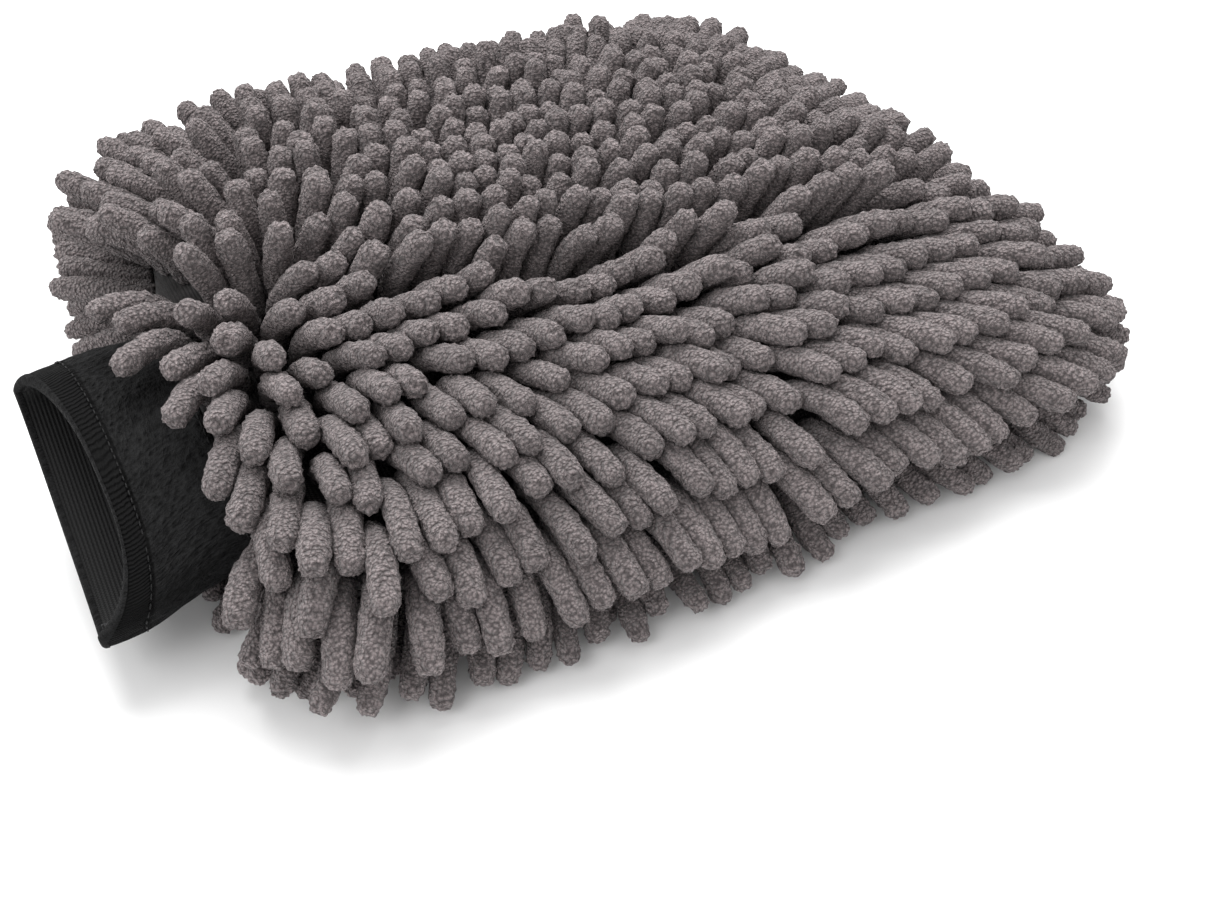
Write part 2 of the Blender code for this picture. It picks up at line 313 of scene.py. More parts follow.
for side, face in ((1, "top"), (-1, "bottom")):
    outer, inner = f"{face}_base_knit", f"{face}_pocket_lining"
    panel(f"{face}_knit_panel", knit, outer, 0.0, KNIT_THICK, side)
    panel(f"{face}_lining_panel", lining, inner, LINING_IN, LINING_THICK, side)


# ------------------------------------------------------------------ edge seam
# Inside the pocket the seam allowance is bound with tape and stitched all round.

TAPE_IN, TAPE_WIDE, TAPE_THICK, TAPE_LONG = 4.5 * MM, 6.0 * MM, 0.8 * MM, 0.51


def edge_point(t, inset):
    """Point of the pocket's edge line, t from 0 at the cuff's back end to 1 at its front."""
    x_run = TIP_X - inset - JOIN_X - 3.0 * MM
    x = JOIN_X + 3.0 * MM + x_run * np.clip(np.sin(math.pi * np.clip(t, 0.0, 1.0)) * 1.08, 0.0, 1.0)
    middle, half = outline(x, inset)
    flat = np.clip((t - 0.5) / 0.123, -1.0, 1.0)
    side = -np.sin(flat * math.pi / 2.0)
    return np.stack([x, middle + half * side, middle_z(x)], axis=-1)


tape = Cloth("binding_tape", 0.8, sheen=0.1)
weave = tape.attribute("weave")
twill = ((tape.part(weave, 0) + tape.part(weave, 1)) * (2 * math.pi / (0.8 * MM))).wave()
tape.bump(twill, 0.15 * MM)
tape.colour(tape.mix(twill, (0.012, 0.012, 0.0125, 1), (0.028, 0.028, 0.029, 1)))

thread = Cloth("thread", 0.5)
twist = thread.attribute("weave")
ply = ((thread.part(twist, 0) * 0.6 + thread.part(twist, 1)) * (2 * math.pi / (0.5 * MM))).wave()
thread.bump(ply, 0.08 * MM)
thread.colour(thread.mix(ply, (0.003, 0.003, 0.0031, 1), (0.010, 0.010, 0.0103, 1)))


def band(name, cloth, node, along, across, place, wide, long, thick):
    """Strip of tape or cloth on place(s, t), s along it, with its thickness."""
    bm, s, t = sheet_grid(along, across, place)
    keep_weave(bm, s, t, long, wide)
    piece = show(bm, name, cloth, [node])
    thicken(piece, thick)
    return piece


band(
    "edge_binding", tape, "edge_seam_tape", 160, 3,
    lambda s, t: edge_point(s, TAPE_IN + TAPE_WIDE * t), TAPE_WIDE, TAPE_LONG, TAPE_THICK,
)


def stitches(name, node, centres, ways, size):
    """A row of stitches: short rounded lengths of thread, each turned along its way."""
    bm = bmesh.new()
    for centre, way in zip(centres, ways):
        made = bmesh.ops.create_uvsphere(bm, u_segments=6, v_segments=5, radius=1.0)["verts"]
        turn = Vector(way).to_track_quat("Z", "Y").to_matrix()
        for vert in made:
            vert.co = turn @ Vector((vert.co.x * size[1], vert.co.y * size[1], vert.co.z * size[0]))
        bmesh.ops.translate(bm, verts=made, vec=centre)
    weave_layer = bm.verts.layers.float_vector.new("weave")
    for vert in bm.verts:
        vert[weave_layer] = vert.co
    return show(bm, name, thread, [node])


def stitch_line(name, node, line, long, gap, thick):
    """Stitches of one length along a line of close points."""
    steps = np.linalg.norm(np.diff(line, axis=0), axis=1)
    far = np.concatenate([[0.0], np.cumsum(steps)])
    at = np.arange(gap, far[-1] - gap, long + gap)
    centres = np.stack([np.interp(at, far, line[:, k]) for k in range(3)], axis=-1)
    ahead = np.stack([np.interp(at + long / 2, far, line[:, k]) for k in range(3)], axis=-1)
    return stitches(name, node, centres, ahead - centres, (long / 2, thick / 2))


ts = np.linspace(0.005, 0.995, 900)
line = edge_point(ts, TAPE_IN + TAPE_WIDE * 0.45)
line[:, 2] += 0.8 * MM
stitch_line("edge_stitches", "edge_seam_thread", line, 2.6 * MM, 0.7 * MM, 0.6 * MM)


# ------------------------------------------------------------------ cuff
# Tube of black crinkled rib knit over a woven elastic, turned over and stitched at the
# mouth, gathered into the pocket's neck at the other end. It sags to a flat oval.

CUFF_LENGTH, JOIN_GAP = 38.0 * MM, 0.4 * MM
MOUTH_HALF, MOUTH_HIGH = 37.0 * MM, 12.5 * MM
MOUTH_YAW, MOUTH_ROLL, MOUTH_SETBACK = -9.7 * MM, math.radians(15.0), 11.0 * MM
PLY_THICK, INNER_PLY_IN = 1.0 * MM, 1.4 * MM
CUFF_ROUND, CUFF_LIFT = 0.19, 2.0 * MM


def cuff_point(run, angle, inset):
    """Point of the cuff, run 0 at the pocket and 1 at the mouth, angle round it from +Y."""
    turn = MOUTH_ROLL * ease(run)
    neck_y, neck_half = outline(np.full_like(run, JOIN_X))
    half = neck_half + (MOUTH_HALF - neck_half) * run - inset
    high = MOUTH_HIGH - inset
    c, s = np.cos(angle), np.sin(angle)
    power = 2.0 / SECTION_POWER
    y = half * np.sign(c) * np.abs(c) ** power
    z = high * np.sign(s) * np.abs(s) ** power
    back = MOUTH_SETBACK * run**2 * np.clip(s, 0.0, 1.0) * (1.0 - 0.3 * c)
    x = JOIN_X - JOIN_GAP - (CUFF_LENGTH - JOIN_GAP) * run + back
    mid_y = neck_y + MOUTH_YAW * ease(run)
    mid_z = CUFF_Z + CUFF_LIFT * ease(run)
    rolled_y = mid_y + y * np.cos(turn) - z * np.sin(turn)
    rolled_z = mid_z + y * np.sin(turn) + z * np.cos(turn)
    return np.stack([x, rolled_y, rolled_z], axis=-1)


def wrinkle(run, angle, deep):
    """Soft crinkles of the outer ply, stronger away from the stitched ends."""
    slack = ease(run / 0.25) * ease((0.97 - run) / 0.3)
    soft = np.sin(9 * angle + 5.0 * run) * np.sin(6.0 * run + 1.3 * np.sin(4 * angle))
    fine = np.sin(31 * angle + 3.0 * np.sin(9.0 * run))
    fine = fine * np.sin(14.0 * run + 2.0 * np.sin(7 * angle))
    return deep * slack * (0.6 * soft + 0.3 * fine)


def cuff_tube(name, cloth, nodes, rows, place, long, thick, around=168):
    """A tube of cloth: a strip rolled round and sewn where its two ends meet."""

    def rolled(s, t):
        return place(t, 2 * math.pi * s)

    bm, s, t = sheet_grid(around, rows, rolled)
    keep_weave(bm, s, t, CUFF_ROUND, long)
    bmesh.ops.remove_doubles(bm, verts=bm.verts, dist=0.01 * MM)
    bmesh.ops.recalc_face_normals(bm, faces=bm.faces)
    middle = sum((v.co for v in bm.verts), Vector()) / len(bm.verts)
    if sum(f.normal.dot(f.calc_center_median() - middle) for f in bm.faces) < 0.0:
        bmesh.ops.reverse_faces(bm, faces=bm.faces)
    piece = show(bm, name, cloth, nodes)
    if thick:
        thicken(piece, thick)
    return piece


crepe = Cloth("cuff_knit", 0.8)
crepe.shader.inputs["Specular IOR Level"].default_value = 0.12
weave = crepe.attribute("weave")
reach = crepe.part(weave, 1)
BAND_START, BAND_FULL = 26.5 * MM, 28.5 * MM
at_band = crepe.ramp(reach, BAND_START, BAND_FULL)
in_tuck = crepe.ramp(reach, BAND_START - 0.3 * MM, BAND_START + 1.0 * MM)
in_tuck = in_tuck - crepe.ramp(reach, BAND_START + 1.2 * MM, BAND_FULL + 0.5 * MM)
warped = crepe.noise(weave, 300.0, 2.0)
ribs = (crepe.part(weave, 0) * (2 * math.pi / (1.1 * MM)) + warped * 5.0).wave()
crinkle = crepe.noise(crepe.scaled(weave, (1.0, 0.6, 1.0)), 850.0, 3.0, 0.7)
crumple = crepe.cells(crepe.scaled(weave, (1.0, 0.55, 1.0)), 800.0, 0.5)
pleats = ribs * (at_band * 0.25 + 0.1) + crinkle * (1.5 - at_band * 0.9)
pleats = pleats + crumple * (0.6 - at_band * 0.5)
pleats = pleats - in_tuck * 0.6
crepe.bump(pleats, 1.2 * MM)
# Painted light and shade: the colour follows the pleats' height, lighter on the crinkles' raised
# parts and darker in their folds and in the tuck line by the band.
lit = crepe.ramp(pleats, 0.5, 1.6)
crepe.colour(crepe.mix(lit, (0.0016, 0.0016, 0.0017, 1), (0.016, 0.016, 0.0165, 1)))

elastic = Cloth("elastic", 0.7, sheen=0.1)
weave = elastic.attribute("weave")
cord_rows = (elastic.part(weave, 1) * (2 * math.pi / (0.95 * MM))).wave()
pick = (elastic.part(weave, 0) * (2 * math.pi / (0.8 * MM)) + cord_rows * 3.1).wave()
elastic.bump(cord_rows * 0.8 + pick * 0.2, 0.4 * MM)
elastic.colour(elastic.mix(cord_rows, (0.002, 0.002, 0.0021, 1), (0.008, 0.008, 0.0083, 1)))

HEM = 0.985
outer_ply = cuff_tube(
    "cuff_outer", crepe, ["cuff_outer_ply"], 56,
    lambda run, angle: cuff_point(HEM * run, angle, -wrinkle(HEM * run, angle, 0.7 * MM)),
    CUFF_LENGTH, PLY_THICK,
)
inner_ply = cuff_tube(
    "cuff_inner", elastic, ["cuff_inner_elastic"], 24,
    lambda run, angle: cuff_point(HEM * run, angle, INNER_PLY_IN),
    CUFF_LENGTH, PLY_THICK,
)


def rolled_rim(t, angle):
    """The turned-over edge: half a ring of small radius round the two plies."""
    round_edge = math.pi * t
    thick = (INNER_PLY_IN + PLY_THICK) / 2.0
    run = HEM - 0.03 + 0.045 * np.sin(round_edge) ** 0.6
    inset = thick - (thick + 0.25 * MM) * np.cos(round_edge)
    return cuff_point(run, angle, inset)


RIM_LONG = 5.0 * MM
cuff_tube("cuff_rim", crepe, ["cuff_mouth_hem"], 12, rolled_rim, RIM_LONG, 0.0)


def ring_line(run, inset):
    """Close points round the cuff at one distance from the pocket."""
    angle = np.linspace(0.0, 2 * math.pi, 721)
    return cuff_point(np.full_like(angle, run), angle, inset)


hem_line, join_line = ring_line(0.73, -0.15 * MM), ring_line(0.03, -0.2 * MM)
stitch_line("hem_stitches", "cuff_hem_thread", hem_line, 1.6 * MM, 0.5 * MM, 0.45 * MM)
stitch_line("join_stitches", "cuff_join_thread", join_line, 2.4 * MM, 0.6 * MM, 0.5 * MM)


SEAM_WIDE, SEAM_THICK = 5.0 * MM, 0.2 * MM


def side_seam_place(s, t):
    """The overlocked ridge inside the cuff at its front end."""
    run = 0.12 + 0.84 * s
    bend = 2 * math.pi * t
    deep = INNER_PLY_IN + PLY_THICK + 1.2 * MM - 0.9 * MM * np.cos(bend)
    return cuff_point(run, math.pi + 0.05 * np.sin(bend), deep)


band(
    "cuff_side_overlock", tape, "cuff_side_seam", 60, 10,
    side_seam_place, SEAM_WIDE, CUFF_LENGTH, SEAM_THICK,
)
JOIN_TAPE_IN = INNER_PLY_IN + PLY_THICK + 0.4 * MM
JOIN_TAPE_WIDE, JOIN_TAPE_THICK = 4.0 * MM, 1.0 * MM
cuff_tube(
    "cuff_join_binding", tape, ["cuff_join_tape"], 4,
    lambda run, angle: cuff_point(0.01 + 0.075 * (1 - run), angle, JOIN_TAPE_IN),
    JOIN_TAPE_WIDE, JOIN_TAPE_THICK,
)


# ------------------------------------------------------------------ chenille noodles
# Thick fingers of microfibre chenille, hooked through the base knit in rows. They were
# brushed away from a crown over the heel of the hand and lie on one another.

ROW_COUNT, ROW_PITCH, ALONG_PITCH = 21, 8.5 * MM, 7.3 * MM
NOODLE_LENGTH, NOODLE_RADIUS = 27.5 * MM, 3.5 * MM
JOINTS, PRESSED_THIN = 9, 0.86
EDGE_V, EDGE_PITCH = 0.985, 6.7 * MM
PARTING = ((-97.0, 30.0), (-85.0, 6.0))
PARTING_WIDE = 4.2 * MM

# Brush strokes over the top face: where each is, x and y in mm, and which way it lays the pile.
BRUSHED = (
    ((-84, -10), (-0.34, -0.62, 0.70)),
    ((-70, -10), (0.65, -0.35, 0.60)),
    ((-71, -24), (0.40, -0.80, 0.35)),
    ((-83, -27), (-0.10, -0.93, 0.20)),
    ((-96, -24), (-0.60, -0.75, -0.10)),
    ((-98, -8), (-0.88, -0.46, -0.10)),
    ((-97, 6), (-0.90, -0.38, -0.05)),
    ((-92, 4), (-0.85, -0.30, 0.20)),
    ((-82, 5), (-0.30, 0.10, 0.92)),
    ((-95, -50), (-0.40, -0.80, -0.40)),
    ((-88, -84), (-0.35, -0.65, -0.70)),
    ((-60, -86), (-0.05, -0.70, -0.70)),
    ((0, -86), (0.22, -0.72, -0.65)),
    ((55, -86), (0.45, -0.72, -0.50)),
    ((98, -80), (0.75, -0.60, -0.30)),
    ((-74, -52), (-0.08, -0.92, -0.15)),
    ((-45, -58), (0.18, -0.90, -0.25)),
    ((0, -64), (0.38, -0.88, -0.25)),
    ((60, -62), (0.50, -0.82, -0.18)),
    ((-52, -34), (0.42, -0.82, 0.30)),
    ((-10, -44), (0.48, -0.76, 0.30)),
    ((40, -48), (0.52, -0.74, 0.30)),
    ((90, -46), (0.68, -0.68, 0.15)),
    ((-54, -10), (0.45, -0.15, 0.88)),
    ((-20, -16), (0.38, -0.12, 0.92)),
    ((20, -20), (0.36, -0.15, 0.92)),
    ((60, -22), (0.42, -0.15, 0.89)),
    ((95, -18), (0.68, -0.10, 0.65)),
    ((-58, 14), (0.36, 0.05, 0.93)),
    ((0, 12), (0.28, -0.02, 0.95)),
    ((55, 12), (0.38, -0.02, 0.92)),
    ((-52, 42), (0.25, 0.14, 0.95)),
    ((5, 46), (0.28, 0.08, 0.95)),
    ((60, 46), (0.42, 0.06, 0.90)),
    ((-50, 74), (-0.10, 0.50, 0.80)),
    ((0, 74), (0.22, 0.45, 0.82)),
    ((50, 74), (0.45, 0.45, 0.70)),
    ((95, 72), (0.75, 0.42, 0.45)),
    ((-55, 94), (-0.25, 0.92, -0.15)),
    ((-25, 94), (0.00, 0.95, -0.20)),
    ((5, 94), (0.10, 0.95, -0.20)),
    ((35, 94), (0.20, 0.92, -0.20)),
    ((65, 94), (0.30, 0.90, -0.15)),
    ((95, 90), (0.60, 0.78, -0.05)),
    ((108, 30), (0.92, 0.05, 0.15)),
    ((108, -30), (0.90, -0.35, 0.00)),
    ((115, 62), (0.90, 0.32, -0.25)),
    ((115, 25), (0.95, 0.05, -0.25)),
    ((115, -15), (0.95, -0.15, -0.25)),
    ((115, -58), (0.88, -0.42, -0.25)),
    ((-94, 18), (-0.88, 0.35, 0.05)),
    ((-86, 36), (-0.85, 0.42, 0.10)),
    ((-78, 52), (-0.78, 0.52, 0.20)),
    ((-68, 72), (-0.62, 0.65, 0.35)),
    ((-80, 20), (-0.60, 0.20, 0.75)),
    ((-72, 38), (-0.40, 0.35, 0.82)),
    ((-66, 20), (0.30, 0.10, 0.93)),
)


def top_lean(x, y):
    """Direction the pile was brushed in at x, y: a mean of the strokes near by."""
    lean = np.zeros((len(x), 3))
    for (sx, sy), way in BRUSHED:
        near = ((x / MM - sx) ** 2 + (y / MM - sy) ** 2 + 16.0) ** -2.0
        lean += near[:, None] * np.array(way) / np.linalg.norm(way)
    return lean


def bottom_lean(x, y):
    """The pile under the mitt is pressed outwards on all sides."""
    out_x, out_y = x / (50.0 * MM), (y + 5.0 * MM) / (38.0 * MM)
    return np.stack([out_x, out_y, np.full_like(x, -0.5)], axis=-1)


def panel_normal(x, v, side):
    step = 0.4 * MM
    along = panel_point(x + step, v, 0.0, side) - panel_point(x - step, v, 0.0, side)
    across = panel_point(x, np.clip(v + 0.01, -1, 1), 0.0, side)
    across = across - panel_point(x, np.clip(v - 0.01, -1, 1), 0.0, side)
    normal = np.cross(along, across) * side
    return normal / np.linalg.norm(normal, axis=1, keepdims=True)


STEEP_END = 2.2 * MM


def edge_places(end):
    """The outermost row follows the seam: even steps along the pocket's edge."""
    grid = np.linspace(JOIN_X + 2.0 * MM, TIP_X - 1.0 * MM, 3000)
    middle, half = outline(grid)
    far = np.concatenate([[0.0], np.cumsum(np.hypot(np.diff(grid), np.diff(middle + end * half)))])
    count = int(far[-1] / EDGE_PITCH)
    at = (np.arange(count) + chance.uniform(0.35, 0.65, count)) * far[-1] / count
    return np.interp(at, far, grid), np.full(count, end * EDGE_V)


def row_places(row, side):
    """Where the noodles of one row are fixed: x, and how far across the pocket."""
    if row in (0, ROW_COUNT - 1):
        return edge_places(1.0 if row else -1.0)
    n = row - (ROW_COUNT - 1) / 2.0
    y = ROW_PITCH * n * (1.0 + 0.0005 * n * n)
    grid = np.linspace(JOIN_X + 1.5 * MM, TIP_X - 1.5 * MM, 900)
    middle, half = outline(grid)
    room = 1.4 * MM if abs(y) > 75 * MM else 2.0 * MM
    inside = grid[np.abs(y - middle) + room < half]
    low, high = inside.min(), inside.max()
    count = int((high - low) / ALONG_PITCH)
    shift = 0.25 if row % 2 else 0.75
    xs = low + (np.arange(count) + shift) * (high - low) / count
    xs = xs + chance.normal(0.0, 0.5 * MM, count)
    xs[-1] = high + 1.0 * MM
    xs = np.minimum(np.append(xs, high - STEEP_END), TIP_X - 0.4 * MM)
    middle, half = outline(xs)
    v = (y + chance.normal(0.0, 0.4 * MM, count + 1) - middle) / half
    return np.maximum(xs, low), np.clip(v, -EDGE_V, EDGE_V)


def off_parting(place):
    """False for places on the bare strip where the pile parts, near the cuff."""
    start, end = np.array(PARTING) * MM
    run = end - start
    t = np.clip((place[:, :2] - start) @ run / (run @ run), 0.0, 1.0)
    away = np.linalg.norm(place[:, :2] - start - t[:, None] * run, axis=1)
    return away > PARTING_WIDE


roots, leans, normals, sides, rows = [], [], [], [], []
for side in (1, -1):
    for row in range(ROW_COUNT):
        xs, vs = row_places(row, side)
        place = panel_point(xs, vs, 0.0, side)
        kept = off_parting(place) if side > 0 else np.full(len(xs), True)
        xs, vs, place = xs[kept], vs[kept], place[kept]
        brushed = top_lean if side > 0 else bottom_lean
        lean = brushed(place[:, 0], place[:, 1])
        lean = lean / np.linalg.norm(lean, axis=1, keepdims=True)
        lean = lean + chance.normal(0.0, 0.10, lean.shape)
        roots.append(place)
        normals.append(panel_normal(xs, vs, side))
        leans.append(lean / np.linalg.norm(lean, axis=1, keepdims=True))
        sides.append(np.full(len(xs), side))
        rows.append(np.full(len(xs), row if side > 0 else row + ROW_COUNT))
roots, leans, normals = np.concatenate(roots), np.concatenate(leans), np.concatenate(normals)
sides, rows = np.concatenate(sides), np.concatenate(rows)
total = len(roots)
lengths = NOODLE_LENGTH * np.clip(chance.normal(1.0, 0.05, total), 0.88, 1.1)
radii = NOODLE_RADIUS * np.clip(chance.normal(1.0, 0.035, total), 0.92, 1.08)
radii = radii * np.where(sides < 0, PRESSED_THIN, 1.0)
piece_long = lengths / (JOINTS - 1)


def shape_value(p, near):
    """Below 1 inside the pocket or the cuff when both are made thicker by near."""
    x, y, z = p[..., 0], p[..., 1], p[..., 2]
    cx = np.clip(x, JOIN_X, TIP_X - 0.5 * MM)
    middle, half = outline(cx)
    side = np.where(z > middle_z(cx), 1, -1)
    high = rise(cx, 0.0, side)
    past = np.clip(x - cx, 0.0, None) / (near + 0.5 * MM)
    v = np.abs(y - middle) / (half + near)
    w = np.abs(z - middle_z(cx)) / (high + near)
    body = (v**SECTION_POWER + w**SECTION_POWER + past**SECTION_POWER) ** (1 / SECTION_POWER)
    run = np.clip((JOIN_X - x) / CUFF_LENGTH, 0.0, 1.0)
    turn = MOUTH_ROLL * ease(run)
    neck_y, neck_half = (NECK_BACK - NECK_FRONT) / 2.0, (NECK_BACK + NECK_FRONT) / 2.0
    dy = y - neck_y - MOUTH_YAW * ease(run)
    dz = z - CUFF_Z - CUFF_LIFT * ease(run)
    across = np.abs(dy * np.cos(turn) + dz * np.sin(turn))
    up = np.abs(dz * np.cos(turn) - dy * np.sin(turn))
    across = across / (neck_half + (MOUTH_HALF - neck_half) * run + near)
    up = up / (MOUTH_HIGH + near)
    tube = (across**SECTION_POWER + up**SECTION_POWER) ** (1 / SECTION_POWER)
    return np.where(x >= JOIN_X, body, tube)


def keep_outside(p, near):
    """Moves points that are inside the pocket, the cuff or the floor out to their surface."""
    step = 0.05 * MM
    value = shape_value(p, near)
    slope = np.stack(
        [(shape_value(p + step * np.eye(3)[k], near) - value) / step for k in range(3)], axis=-1
    )
    slope[..., 0] *= 0.3
    steep = np.sum(slope**2, axis=-1)
    move = np.clip(1.0 - value, 0.0, None) / np.maximum(steep, 1e-6)
    push = slope * move[..., None]
    far = np.linalg.norm(push, axis=-1, keepdims=True)
    push = push * np.minimum(1.0, 1.2 * MM / np.maximum(far, 1e-9))
    p = p + push
    p[..., 2] = np.maximum(p[..., 2], near)
    return p


turning = np.clip(np.arange(JOINTS - 1) / 2.0, 0.0, 1.0)[None, :, None]
ways = normals[:, None] * (1 - turning) + leans[:, None] * turning
ways /= np.linalg.norm(ways, axis=-1, keepdims=True)
steps = np.cumsum(ways * piece_long[:, None, None], axis=1)
chain = np.concatenate([roots[:, None], roots[:, None] + steps], axis=1)

SETTLE_STEPS = 420
REACH = 2.0 * NOODLE_RADIUS + 1.5 * MM
DROOP, SNUG = 0.05 * MM, 0.97
TOUCH, STAND_UP, STIFF, BRUSH_HOLD = 0.95, 0.4, 0.14, 0.055
owner = np.repeat(np.arange(total), JOINTS)
joint = np.tile(np.arange(JOINTS), total)


def near_pairs(points):
    """Pairs of joints of different noodles that are close enough to touch."""
    tree = KDTree(len(points))
    for i, p in enumerate(points):
        tree.insert(p, i)
    tree.balance()
    found = [(i, j) for i, p in enumerate(points) for _, j, _ in tree.find_range(p, REACH) if j > i]
    found = np.array(found)
    first, second = found[:, 0], found[:, 1]
    apart = (owner[first] != owner[second]) & (joint[first] + joint[second] > 1)
    return first[apart], second[apart]


weight = np.linspace(0.0, 1.0, JOINTS)[None, :] ** 1.5
for step in range(SETTLE_STEPS):
    if step % 10 == 0:
        first, second = near_pairs(chain.reshape(-1, 3))
        need = (radii[owner[first]] + radii[owner[second]]) * SNUG
    chain[:, :, 2] -= DROOP * weight
    points = chain.reshape(-1, 3)
    gap = points[second] - points[first]
    away = np.linalg.norm(gap, axis=1)
    push = np.clip(need - away, 0.0, None)
    move = gap / np.maximum(away, 1e-6)[:, None] * (push * 0.5)[:, None]
    hits = np.bincount(first, push > 0, len(points)) + np.bincount(second, push > 0, len(points))
    shift = np.stack(
        [
            np.bincount(second, move[:, k], len(points)) - np.bincount(first, move[:, k], len(points))
            for k in range(3)
        ],
        axis=-1,
    )
    points = points + shift / np.maximum(hits, 1.0)[:, None] ** 0.5
    chain = keep_outside(points.reshape(total, JOINTS, 3), (radii * TOUCH)[:, None])
    chain[:, 0] = roots
    for k in range(1, JOINTS):
        way = chain[:, k] - chain[:, k - 1]
        way /= np.maximum(np.linalg.norm(way, axis=1, keepdims=True), 1e-9)
        if k == 1:
            way = way * (1.0 - STAND_UP) + normals * STAND_UP
        else:
            before = chain[:, k - 1] - chain[:, k - 2]
            before /= np.linalg.norm(before, axis=1, keepdims=True)
            way = way + STIFF * before + BRUSH_HOLD * leans
        way /= np.linalg.norm(way, axis=1, keepdims=True)
        lowest = np.clip((radii * TOUCH - chain[:, k - 1, 2]) / piece_long, -1.0, 1.0)
        sinking = way[:, 2] < lowest
        level = np.sqrt(1.0 - lowest**2) / np.maximum(np.linalg.norm(way[:, :2], axis=1), 1e-6)
        way[sinking, :2] *= level[sinking, None]
        way[sinking, 2] = lowest[sinking]
        chain[:, k] = chain[:, k - 1] + way * piece_long[:, None]

CORNERS, RINGS = 6, 8
RING_AT = np.array([0.0, 0.0, 0.14, 0.33, 0.54, 0.75, 0.91, 0.985, 1.0])
RING_WIDE = np.array([0.0, 1.02, 1.15, 1.19, 1.19, 1.19, 1.15, 0.80, 0.0])

# The fixed end is at 0 along each noodle and its free end at 1; the cage is a ball that
# is drawn out, six corners round and seven rings between its two end points.
bm = bmesh.new()
bmesh.ops.create_uvsphere(bm, u_segments=CORNERS, v_segments=RINGS, radius=1.0)
cage_ring = np.rint(np.arccos([max(-1.0, min(1.0, -v.co.z)) for v in bm.verts]) / math.pi * RINGS)
cage_ring = cage_ring.astype(int)
cage_turn = np.array([math.atan2(v.co.y, v.co.x) for v in bm.verts])
cage = bpy.data.meshes.new("noodle_cage")
bm.to_mesh(cage)
bm.free()


def along_chain(points, at):
    """Places on a smooth line through the points at fractions of its length, and ways."""
    t = at * (len(points) - 1)
    i = np.clip(t.astype(int), 0, len(points) - 2)
    u = (t - i)[:, None]
    first = 2 * points[:1] - points[1:2]
    last = 2 * points[-1:] - points[-2:-1]
    p = np.concatenate([first, points, last])
    a, b, c, d = p[i], p[i + 1], p[i + 2], p[i + 3]
    bend, turn = 2 * a - 5 * b + 4 * c - d, 3 * b - a - 3 * c + d
    place = 0.5 * (2 * b + (c - a) * u + bend * u**2 + turn * u**3)
    way = 0.5 * ((c - a) + 2 * bend * u + 3 * turn * u**2)
    return place, way / np.linalg.norm(way, axis=1, keepdims=True)


def row_mesh(name, members):
    """All noodles of one row: copies of the cage bent along their own lines."""
    bm = bmesh.new()
    for _ in members:
        bm.from_mesh(cage)
    mesh = bpy.data.meshes.new(name)
    bm.to_mesh(mesh)
    bm.free()
    corners, strand, tone_and_root_shade = [], [], []
    for n in members:
        place, way = along_chain(chain[n], RING_AT)
        least = np.argmin(np.abs(chain[n][-1] - chain[n][0]))
        across = np.cross(way, np.eye(3)[least])
        across /= np.linalg.norm(across, axis=1, keepdims=True)
        up = np.cross(way, across)
        wide = radii[n] * RING_WIDE * chance.normal(1.0, 0.03, len(RING_AT))
        wide = wide[cage_ring]
        c, s = np.cos(cage_turn) * wide, np.sin(cage_turn) * wide
        spokes = across[cage_ring] * c[:, None] + up[cage_ring] * s[:, None]
        corners.append(place[cage_ring] + spokes)
        straight = np.stack([c, s, RING_AT[cage_ring] * lengths[n]], axis=-1)
        strand.append(straight + chance.uniform(0.0, 1.0, 3))
        # The second value is how far along the noodle each ring is, used below for the painted shade
        # at its root.
        tone_and_root_shade.append(np.stack([np.full(len(c), chance.uniform()), RING_AT[cage_ring]], axis=-1))
    mesh.vertices.foreach_set("co", np.concatenate(corners).astype(np.float32).ravel())
    for label, values in (("strand", strand), ("tone_and_root_shade", tone_and_root_shade)):
        values = np.concatenate(values)
        if values.shape[1] == 2:
            values = np.concatenate([values, np.zeros((len(values), 1))], axis=1)
        layer = mesh.attributes.new(label, "FLOAT_VECTOR", "POINT")
        layer.data.foreach_set("vector", values.astype(np.float32).ravel())
    mesh.update()
    return mesh


soft_tint = (0.8, 0.76, 0.76, 1)
chenille = Cloth("chenille", 0.95, sheen=0.35, sheen_rough=0.45, sheen_tint=soft_tint)
strand = chenille.attribute("strand")
squeezed = chenille.scaled(strand, (1.0, 1.0, 1.35))
nubs = 1.0 - chenille.cells(squeezed, 1050.0, 0.22)
grain = chenille.noise(squeezed, 2300.0, 2.0, 0.6)
lumps = chenille.noise(strand, 600.0, 1.0)
pile_height = nubs * 0.8 + grain * 0.5 + lumps * 0.25
chenille.bump(pile_height, 2.6 * MM)
tone_and_root_shade = chenille.attribute("tone_and_root_shade")
shade = chenille.part(tone_and_root_shade, 0)
# Painted shade: each noodle's colour darkens towards its fixed end, where it lies deep among its
# neighbours.
depth = chenille.ramp(chenille.part(tone_and_root_shade, 1), 0.0, 0.7, 0.4, 1.03)
# Painted light and shade: the colour follows the pile's height, lighter on the nubs' tops and darker
# in the crevices between them, times each noodle's random tone and the painted root shade.
light = chenille.ramp(pile_height, 0.5, 1.2, 0.32, 1.5) * (shade * 0.22 + 0.89) * depth
tint = chenille.mix(light * 0.5, (0.0, 0.0, 0.0, 1), (0.56, 0.472, 0.474, 1))
chenille.colour(tint)

nub_noise = bpy.data.textures.new("chenille_nubs", "CLOUDS")
nub_noise.noise_scale = 1.1 * MM
nub_noise.noise_depth = 1

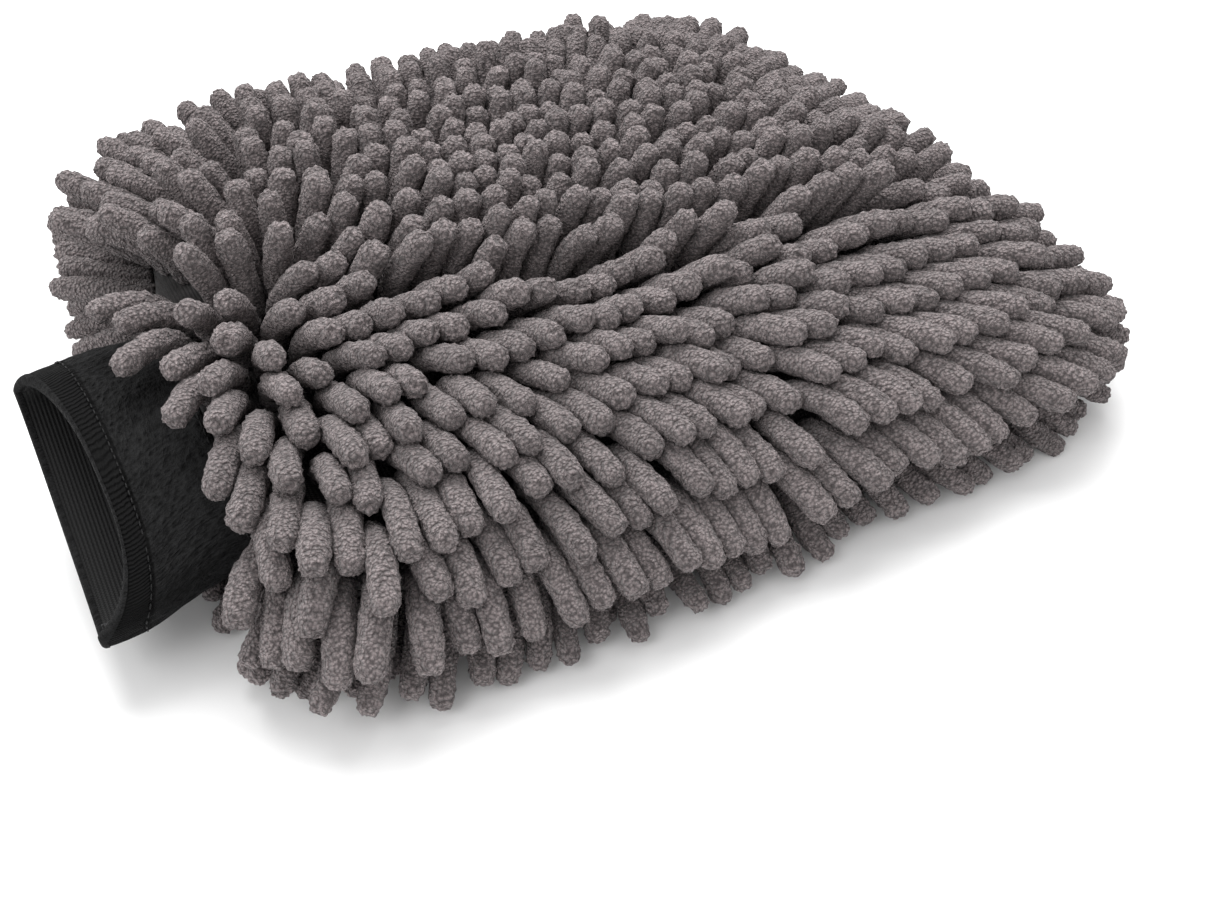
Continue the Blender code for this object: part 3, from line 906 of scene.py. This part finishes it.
for row in range(2 * ROW_COUNT):
    face = "top" if row < ROW_COUNT else "bottom"
    number = f"{row % ROW_COUNT + 1:02d}"
    mesh = row_mesh(f"{face}_noodles_{number}", np.flatnonzero(rows == row))
    piece = dress(mesh, chenille, [f"{face}_noodle_row_{number}"])
    smooth = piece.modifiers.new("Subdivision", "SUBSURF")
    smooth.levels = smooth.render_levels = 2
    nubby = piece.modifiers.new("Nubs", "DISPLACE")
    nubby.texture = nub_noise
    nubby.texture_coords = "LOCAL"
    nubby.strength = 1.6 * MM
    nubby.mid_level = 0.5
bpy.data.meshes.remove(cage)


# ------------------------------------------------------------------ studio
# A plain white floor under an even, bright sky, with a wide soft lamp behind and a small
# one at the left.

bm = bmesh.new()
bmesh.ops.create_grid(bm, x_segments=1, y_segments=1, size=3.0)
mesh = bpy.data.meshes.new("floor")
bm.to_mesh(mesh)
bm.free()
floor = bpy.data.objects.new("floor", mesh)
bpy.context.scene.collection.objects.link(floor)
pale = Cloth("floor", 0.8)
pale.shader.inputs["Base Color"].default_value = (0.9, 0.9, 0.9, 1)
mesh.materials.append(pale.material)

world = bpy.data.worlds.new("studio")
bpy.context.scene.world = world
world.use_nodes = True
sky = world.node_tree.nodes["Background"]
sky.inputs["Color"].default_value = (1, 1, 1, 1)
sky.inputs["Strength"].default_value = 0.85

for name, place, wide, power in (
    ("high_lamp", (0.15, 0.45, 0.95), 0.9, 15.0),
    ("left_lamp", (-0.75, -0.35, 0.85), 0.6, 4.0),
):
    lamp = bpy.data.lights.new(name, "AREA")
    lamp.size = wide
    lamp.energy = power
    hung = bpy.data.objects.new(name, lamp)
    hung.location = place
    hung.rotation_euler = (-hung.location).to_track_quat("-Z", "Y").to_euler()
    bpy.context.scene.collection.objects.link(hung)

AZIMUTH, ELEVATION = math.radians(-28.0), math.radians(43.0)
camera = bpy.data.cameras.new("camera")
camera.lens = 40.0
eye = bpy.data.objects.new("camera", camera)
back = Vector(
    (
        math.sin(AZIMUTH) * math.cos(ELEVATION),
        -math.cos(AZIMUTH) * math.cos(ELEVATION),
        math.sin(ELEVATION),
    )
)
eye.location = (-0.1278, -0.2844, 0.2478)
eye.rotation_euler = back.to_track_quat("Z", "Y").to_euler()
bpy.context.scene.collection.objects.link(eye)
bpy.context.scene.camera = eye
bpy.context.scene.view_settings.view_transform = "Standard"
